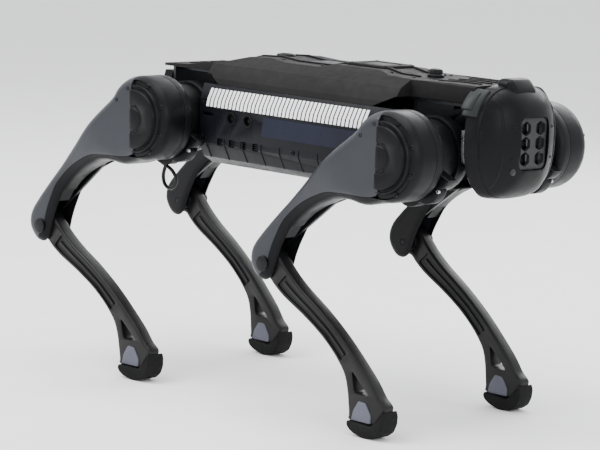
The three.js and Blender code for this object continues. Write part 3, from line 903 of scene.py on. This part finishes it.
def top_details():
    ribs = [top_strip(-150, 150, y, 5, 2.2) for y in (-24, 24)]
    ribs += [top_strip(-262, -186, y, 4, 1.6) for y in (-30, -10, 10, 30)]
    ribs += [top_strip(186, 256, y, 4, 1.6) for y in (-30, -10, 10, 30)]
    trunk_show("top_ribs", together(ribs), TEXTURED)
    deck = raised(box_outline(26, 96, -30, 30, 7), 90, 95.6, 2)
    pocket = raised(box_outline(38, 84, -17, 17, 5), 94, 99, 0)
    deck = boolean(deck, [pocket])
    trunk_show("top_deck", bevelled(deck, 0.5, 2, 50), TEXTURED)
    lid = raised(box_outline(39, 83, -16, 16, 4.6), 92.6, 95, 0.6)
    trunk_show("deck_lid", lid, PANEL)
    hatch = raised(box_outline(-50, 8, -19, 19, 5), 85.5, 88.6, 1)
    trunk_show("top_hatch", hatch, PANEL)
    knob = [(0, 84), (11, 84), (11, 89.5), (10, 90.6), (9, 91), (9, 95), (7.6, 97), (4, 97.8), (0, 98)]
    ring = [(0, 86), (13, 86), (13, 91), (12, 92.2), (9.5, 92.6), (8.8, 91.8), (8.2, 90.2), (0, 90)]
    knob = turned(turned(lathe(knob, 40), UPRIGHT), Matrix.Translation((155, 0, 0)))
    trunk_show("top_knob", knob, BLACK)
    ring = turned(turned(lathe(ring, 48), UPRIGHT), Matrix.Translation((-110, 0, 0)))
    trunk_show("top_socket_ring", ring, ANODISED)
    places = [((x, side * 36, top_z(x) - 0.4), (0, 0, 1))
              for x in (-150, -80, -10, 112, 150) for side in (-1, 1)]
    screws("top_screws", places, 2.6, 1.4, TRUNK, "trunk")
    places = [((x, y, 95), (0, 0, 1)) for x in (32, 90) for y in (-24, 24)]
    screws("deck_screws", places, 2.2, 1.2, TRUNK, "trunk")


def panel_patch(x0, x1, z0, z1, lift, thick=1.0, slant=0.0, steps=4):
    """A thin plate lying on the side panel."""
    heights = sorted({z0, z1, *[z for _, z in PANEL_SIDE if z0 < z < z1]})
    grids = []
    for raise_by in (lift, lift - thick):
        grid = []
        for z in heights:
            shift = slant * (z - z0)
            out = panel_y(z) + raise_by
            grid.append([(x + shift, out, z) for x in np.linspace(x0, x1, steps)])
        grids.append(grid)
    return sheet_between(*grids)


def side_details():
    holes = [disc(7.6, 80, 120, at, 40) for at in PORTS]
    holes += [puck(box_outline(x - 5, x + 5, -30, -20, 1.5), 80, 120) for x in VENTS]
    holes.append(puck(box_outline(-169, -149, 8, 12.5, 2), 80, 120))
    holes = together(holes)
    for side, name in ((1, "left"), (-1, "right")):
        mirror = MIRROR if side < 0 else Matrix()
        tool = turned(holes, TO_ROW @ mirror)
        refined(f"side_skin_{name}", f"side_panel_{name}", PANEL, 0.9, 2, 12, [tidy(tool)])
    port = [(0, 84), (8.6, 84), (8.6, 95.6), (8.2, 96.2), (6.6, 96.2), (6.2, 95.6), (6.0, 90), (2.2, 90),
            (2.0, 93), (0, 93.2)]
    ports = [turned(lathe(port, 40), Matrix.Translation((x, 0, z))) for x, z in PORTS]
    trunk_show("side_ports", both_sides(together(ports)), OXIDE)
    grille = []
    for x in VENTS:
        grille += [puck(box_outline(x - 6, x + 6, z, z + 1.4), 90.6, 93) for z in (-28.6, -25.7, -22.8)]
    grille.append(puck(box_outline(-170, -148, 7, 13.5), 88, 90))
    trunk_show("side_grilles", both_sides(together(grille)), OXIDE)
    ribs = [panel_patch(x - 0.8, x + 0.8, -49, -20, 0.8, 2, 0, 2) for x in range(-160, 120, 34)]
    trunk_show("side_ribs", both_sides(bevelled(together(ribs), 0.3, 1, 60)), PANEL)
    inlay = panel_patch(-58, 118, -9, 16.5, 0.5, 1.4, 0.12, 8)
    trunk_show("side_inlay", both_sides(inlay), INLAY)
    bars = [panel_patch(x, x + 4.6, 20.5, 45, 0.45, 1.2, 0.18, 2) for x in np.arange(-162, 120, 7)]
    trunk_show("side_marking", both_sides(together(bars)), PRINT)
    spots = ((-168, 24), (-168, -20), (168, 24), (168, -20), (0, -24), (60, -24))
    places = [((x, side * (panel_y(z) + 0.2), z), (0, side, 0)) for side in (-1, 1) for x, z in spots]
    screws("side_screws", places, 2.6, 1.4, TRUNK, "trunk")


# ---- Head ---------------------------------------------------------------------------------------
HEAD_SECTION = [(44, -50), (64, -38), (79, -18), (86, 2), (88, 26), (84, 50), (73, 70), (54, 84), (26, 90)]
HEAD_BACK = 275
HEAD_NOSE = 326
HEAD_MIDDLE = 20         # height of the head's axis
HEAD_HALF = (88, 70)
BAY = {"y": 27, "z0": -13, "z1": 53}
EYES = [(y, z) for y in (-14, 14) for z in (1, 20, 39)]


def head_scale(x):
    """How far the head's cross-section has drawn in, across and up, at a distance along its axis."""
    across = math.sqrt(max(0, 1 - ((x - 250) / (HEAD_NOSE - 250)) ** 2))
    t = max(0, (x - HEAD_BACK) / (HEAD_NOSE - HEAD_BACK))
    return across, max(0, 1 - t ** 2.35) ** (1 / 2.35)


def head_ring(x, grow=0.0):
    """Points round the head at x, grown outwards."""
    half = [(y / HEAD_HALF[0], (z - HEAD_MIDDLE) / HEAD_HALF[1]) for y, z in HEAD_SECTION]
    loop = smooth(half + [(-y, z) for y, z in reversed(half)], 0.035)
    across, up = head_scale(x)
    ring = []
    for y, z in loop:
        point = np.array([y * HEAD_HALF[0] * across, z * HEAD_HALF[1] * up])
        point *= 1 + grow / max(12, np.linalg.norm(point))
        ring.append((x, point[0], point[1] + HEAD_MIDDLE))
    return ring


def head_x(y, z):
    """Where the head's surface is, at a distance across and a height."""
    low, high = 251.0, HEAD_NOSE - 0.05
    for _ in range(40):
        x = (low + high) / 2
        across, up = head_scale(x)
        level = (z - HEAD_MIDDLE) / (HEAD_HALF[1] * max(up, 1e-6))
        heights = [(p[1] - HEAD_MIDDLE) / HEAD_HALF[1] for p in HEAD_SECTION]
        wide = np.interp(level, heights, [p[0] for p in HEAD_SECTION]) if abs(level) <= 1 else 0
        low, high = (x, high) if wide * across > abs(y) else (low, x)
    return low


def raised_from_axis(point, lift):
    """A point of the head's ring, moved away from the head's axis."""
    out = np.array([point[1], point[2] - HEAD_MIDDLE])
    out *= 1 + lift / np.linalg.norm(out)
    return out[0], out[1] + HEAD_MIDDLE


def shoulder(x, side, keep):
    """Points of one side's upper ring, chosen by their share of the head's width."""
    share = head_scale(x)[0]
    upper = [p for p in head_ring(x) if p[2] > HEAD_MIDDLE and p[1] * side > 0]
    return [p for p in upper if round(p[1] / share, 3) in keep]


def head():
    seam = (290.6, 291.2, 292.0, 292.6)
    outer = []
    sections = (HEAD_BACK, 276.5, 281, 286, *seam, 297, 302, 307, 311, 314.5, 317.5, 320, 322, 323.6, 324.8,
                325.6)
    drawn = {HEAD_BACK: -1.2, seam[1]: -1.4, seam[2]: -1.4}
    for x in sections:
        outer.append(head_ring(x, drawn.get(x, 0)))
    inner = [head_ring(x, -4) for x in (275, 286, 297, 305, 311, 315, 318, 320)]
    shell = rows_to_mesh(inner[::-1] + outer, closed=True)
    bay = turned(puck(box_outline(-BAY["y"], BAY["y"], BAY["z0"], BAY["z1"], 11), 296, 340), FORWARDS)
    shell = bevelled(boolean(shell, [tidy(bay)]), 1.1, 3, 55, 0.05)
    piece = trunk_show("head_dome", shell, HEAD, 40)
    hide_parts("head_shell")

    crest = [(271, 80), (273.5, 95), (277, 97.4), (289, 98), (294, 96.5), (304, 83), (304, 76), (285, 76)]
    crest = puck(smooth(crest, 1.5), -24, 24, 9, 9, 7)
    trunk_show("head_crest", crest, HEAD)

    ridges = []
    for side in (-1, 1):
        rows = []
        for z in np.arange(-37, 80, 3):
            taper = min(1, (z + 39) / 12, (82 - z) / 12)
            x = head_x(50, z)
            y = 50 * side
            rows.append([(x - 4, y - 2.6 * side, z), (x + 2.0 * taper, y - 1.6 * side, z),
                         (x + 1.6 * taper - 1.2, y + 1.7 * side, z), (x - 6, y + 3 * side, z)])
        ridges.append(bevelled(rows_to_mesh(rows, closed=True), 0.6, 2, 40, 0.1))
    trunk_show("head_ridges", together(ridges), HEAD, 50)

    blocks, edge_highlights = [], []
    start = head_ring(HEAD_BACK + 1)
    for side in (-1, 1):
        for low, high, x0, x1, grow in ((50, 84, 269, 287, 3.0), (58, 80, 266, 281, 4.6)):
            share = head_scale(HEAD_BACK + 1)[0]
            chosen = [p for p in start if p[1] * side > 0 and low <= p[2] <= high]
            keep = {round(round(p[1] / share, 4), 3) for p in chosen}
            grids = []
            for lift in (grow, -1.0):
                grid = []
                for x in np.linspace(x0, x1, 5):
                    chosen = shoulder(max(x, HEAD_BACK), side, keep)
                    grid.append([(x, *raised_from_axis(p, lift)) for p in chosen])
                grids.append(grid)
            blocks.append(bevelled(sheet_between(*grids), 0.9, 2, 45, 0.1))
        # A bright strip down each side of the shell's rear edge: a painted highlight.
        path = [p for p in start if p[1] * side > 0 and -8 <= p[2] <= 36]
        grids = []
        for lift in (1.5, -0.5):
            grids.append([[(x, p[1] + lift * side, p[2]) for p in path] for x in (273.6, 275.2, 276.6)])
        edge_highlights.append(sheet_between(*grids))
    trunk_show("head_blocks", together(blocks), GREY, 40)
    # painted highlight strips on the shell's rear edges
    trunk_show("head_edge_highlight", together(edge_highlights), BRIGHT, 40)


def face():
    half = BAY["y"] - 0.4
    plate = puck(box_outline(-half, half, BAY["z0"] + 0.4, BAY["z1"] - 0.4, 10), 314, 318.6, 0, 1, 3)
    openings = []
    for y, z in EYES:
        corners = [(y + 10.2 * math.cos(math.radians(a)), z + 9.6 * math.sin(math.radians(a)))
                   for a in range(30, 390, 60)]
        openings.append(puck(rounded(corners, 2), 300, 330))
    plate = bevelled(boolean(plate, [together(openings)]), 0.7, 2, 50)
    piece = trunk_show("face_web", turned(plate, FORWARDS), WEB)
    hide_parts("face_plate")
    backing = puck(box_outline(-24, 24, -10, 50, 6), 292, 309, 0.5, 0.5, 2)
    barrel = [(0, 305), (6.4, 305), (6.4, 311.4), (6, 312), (5.2, 312), (4.9, 311.2), (4.7, 309.8),
              (3, 310.6), (0, 311)]
    lenses = [turned(lathe(barrel, 32), Matrix.Translation((y, 0, z))) for y, z in EYES]
    piece = trunk_show("lens_group", turned(together([backing, *lenses]), FORWARDS), LENS, 50)
    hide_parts("sensor_module")
    x = head_x(33, -14)
    button = [(0, x - 6), (4.6, x - 6), (4.6, x + 0.4), (4, x + 1.2), (2.6, x + 1.8), (0, x + 2.1)]
    button = turned(turned(lathe(button, 32), FORWARDS), Matrix.Translation((0, -33, -14)))
    trunk_show("face_button", button, WEB)
    places = [((head_x(y, z) - 0.5, y, z), (1, y / 150, 0)) for y in (-36, 36) for z in (2, 40)]
    screws("face_screws", places, 2.2, 1.4, TRUNK, "trunk")


def tail():
    slots = []
    for k in range(6):
        z = -22 + 9 * k
        slots.append(puck(box_outline(-34, 34, z, z + 3.4, 1.6), -292, -286))
    tool = turned(together(slots), TO_ROW @ FORWARDS)
    refined("tail_shell", "tail_cover", HEAD, 2.2, 3, 12, [tidy(tool)])
    mesh = turned(puck(box_outline(-38, 38, -26, 32, 3), -286.6, -285.6), FORWARDS)
    trunk_show("tail_mesh", mesh, OXIDE)
    button = [(0, -288), (7.6, -288), (7.6, -290.6), (6.8, -291.2), (5.4, -291.2), (5, -290.4), (4.8, -289.8),
              (0, -290.2)]
    button = turned(turned(lathe(button, 40), FORWARDS), Matrix.Translation((0, 0, 43)))
    trunk_show("power_button", button, OXIDE)
    places = [((-290, y, z), (-1, 0, 0)) for y in (-48, 48) for z in (-28, 30)]
    screws("tail_screws", places, 2.6, 1.4, TRUNK, "trunk")


def trunk():
    refined("chassis_frame", "chassis", ALLOY, 0.8)
    refined("battery_pack", "battery", CELL, 3, 3)
    refined("control_board", "main_board", BOARD, 0.3)
    refined("belly_cover", "belly_pan", TEXTURED, 1.2)
    refined("top_shell", "top_cover", TEXTURED, 3, 3, 8)
    top_details()
    side_details()
    head()
    face()
    tail()


# ---- Cable loop ---------------------------------------------------------------------------------
CABLE_ROUTE = [
    (-247, -107.5, -47), (-246.8, -107.4, -51), (-243, -107, -57), (-234, -106, -62), (-224, -105.5, -66),
    (-212, -105, -72), (-205, -104, -82), (-208, -103, -92), (-218, -102, -97), (-229, -101, -93),
    (-234, -100, -83), (-233, -99, -72), (-229, -98.5, -62), (-227, -98, -54), (-227, -98, -50),
]


def cable():
    path = [TRUNK @ Vector(p) for p in smooth(CABLE_ROUTE, 2, closed=False)]
    data = bpy.data.curves.new("cable", "CURVE")
    data.dimensions = "3D"
    data.bevel_depth = CABLE_D / 2 * MM
    data.bevel_resolution = 5
    data.use_fill_caps = True
    line = data.splines.new("POLY")
    line.points.add(len(path) - 1)
    for point, at in zip(line.points, path):
        point.co = (*at, 1)
    data.materials.append(JACKET)
    piece = bpy.data.objects.new("hip_cable", data)
    bpy.context.scene.collection.objects.link(piece)
    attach(piece, "rear_right_hip")
    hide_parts("rear_right_cable_loop")


# ---- Floor --------------------------------------------------------------------------------------
def floor():
    made = mesh_of([(-9, -9, 0), (9, -9, 0), (9, 9, 0), (-9, 9, 0)], [(0, 1, 2, 3)])
    piece = bpy.data.objects.new("floor", made)
    made.materials.append(finish("floor_pale", (0.9, 0.9, 0.9), 0.7, 0.0, 0.015, 40, 0.02, 0.5))
    bpy.context.scene.collection.objects.link(piece)


camera()
studio()
floor()
cable()
legs()
trunk()
